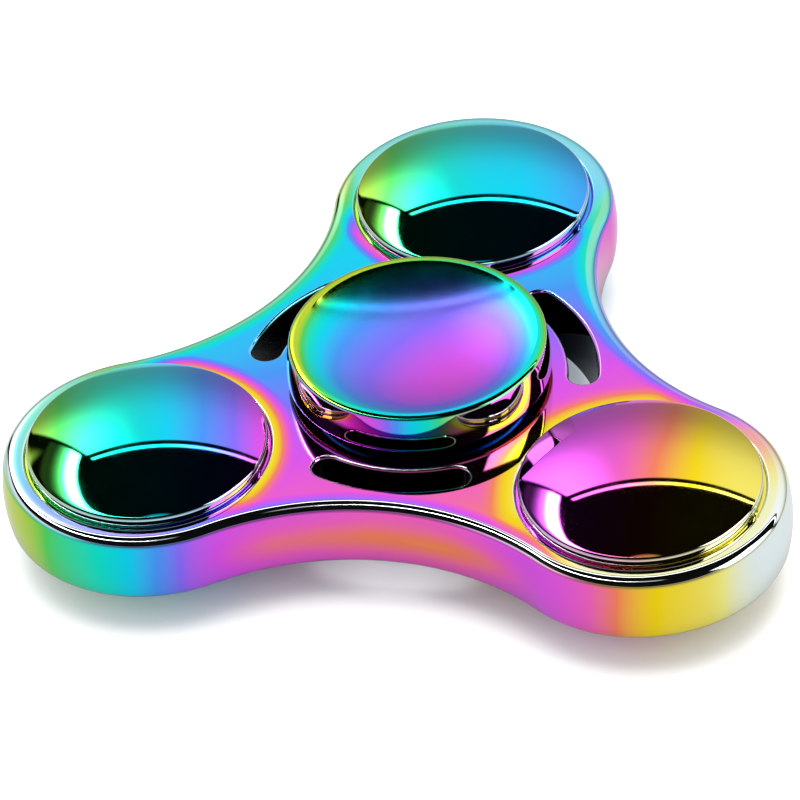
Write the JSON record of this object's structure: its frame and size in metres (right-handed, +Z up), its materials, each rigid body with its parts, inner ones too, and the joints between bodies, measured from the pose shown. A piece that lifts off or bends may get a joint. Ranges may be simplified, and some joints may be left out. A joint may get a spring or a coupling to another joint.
{
  "type": "fidget spinner",
  "caption": "Three-lobed metal fidget spinner with domed lobe weights, curved slots, dished finger caps and a shielded ball bearing.",
  "frame": {"origin": "on the spin axis, in the plane the lower cap's rim stands on", "axes": "+Z up along the spin axis, +Y towards one lobe"},
  "size_m": [0.0746, 0.0683, 0.0165],
  "materials": {
    "body_metal": "mirror polish with an iridescent coating",
    "weight_metal": "mirror polish with an iridescent coating",
    "cap_metal": "mirror polish with an iridescent coating",
    "bearing_steel": "ground and polished",
    "shield_steel": "pressed sheet",
    "cage_steel": "pressed strip"
  },
  "bodies": {
    "hub": {"inner_ring": "bearing_steel", "cap_upper": "cap_metal", "cap_lower": "cap_metal"},
    "rotor": {"body": "body_metal", "weight_1": "weight_metal", "weight_2": "weight_metal", "weight_3": "weight_metal", "outer_ring": "bearing_steel", "shield_upper": "shield_steel", "shield_lower": "shield_steel"},
    "cage": {"cage_upper": "cage_steel", "cage_lower": "cage_steel", "cage_rivets": "cage_steel"},
    "ball_body_1": {"ball_1": "bearing_steel"},
    "ball_body_2": {"ball_2": "bearing_steel"},
    "ball_body_3": {"ball_3": "bearing_steel"},
    "ball_body_4": {"ball_4": "bearing_steel"},
    "ball_body_5": {"ball_5": "bearing_steel"},
    "ball_body_6": {"ball_6": "bearing_steel"},
    "ball_body_7": {"ball_7": "bearing_steel"}
  },
  "joints": [
    {"name": "body_spin", "type": "hinge", "parent": "hub", "child": "rotor", "pos_m": [0, 0, 0.00825], "axis": [0, 0, 1], "continuous": true},
    {"name": "cage_spin", "type": "hinge", "parent": "hub", "child": "cage", "pos_m": [0, 0, 0.00825], "axis": [0, 0, 1], "continuous": true},
    {"name": "ball_spin_1", "type": "hinge", "parent": "cage", "child": "ball_body_1", "pos_m": [0, 0.0075, 0.00825], "axis": [0, 0, 1], "continuous": true},
    {"name": "ball_spin_2", "type": "hinge", "parent": "cage", "child": "ball_body_2", "pos_m": [-0.00586, 0.00468, 0.00825], "axis": [0, 0, 1], "continuous": true},
    {"name": "ball_spin_3", "type": "hinge", "parent": "cage", "child": "ball_body_3", "pos_m": [-0.00731, -0.00167, 0.00825], "axis": [0, 0, 1], "continuous": true},
    {"name": "ball_spin_4", "type": "hinge", "parent": "cage", "child": "ball_body_4", "pos_m": [-0.00325, -0.00676, 0.00825], "axis": [0, 0, 1], "continuous": true},
    {"name": "ball_spin_5", "type": "hinge", "parent": "cage", "child": "ball_body_5", "pos_m": [0.00325, -0.00676, 0.00825], "axis": [0, 0, 1], "continuous": true},
    {"name": "ball_spin_6", "type": "hinge", "parent": "cage", "child": "ball_body_6", "pos_m": [0.00731, -0.00167, 0.00825], "axis": [0, 0, 1], "continuous": true},
    {"name": "ball_spin_7", "type": "hinge", "parent": "cage", "child": "ball_body_7", "pos_m": [0.00586, 0.00468, 0.00825], "axis": [0, 0, 1], "continuous": true}
  ],
  "couplings": [
    {"joint": "cage_spin", "follows": "body_spin", "ratio": 0.6323},
    {"joint": "ball_spin_1", "follows": "body_spin", "ratio": 1.7573},
    {"joint": "ball_spin_2", "follows": "body_spin", "ratio": 1.7573},
    {"joint": "ball_spin_3", "follows": "body_spin", "ratio": 1.7573},
    {"joint": "ball_spin_4", "follows": "body_spin", "ratio": 1.7573},
    {"joint": "ball_spin_5", "follows": "body_spin", "ratio": 1.7573},
    {"joint": "ball_spin_6", "follows": "body_spin", "ratio": 1.7573},
    {"joint": "ball_spin_7", "follows": "body_spin", "ratio": 1.7573}
  ]
}
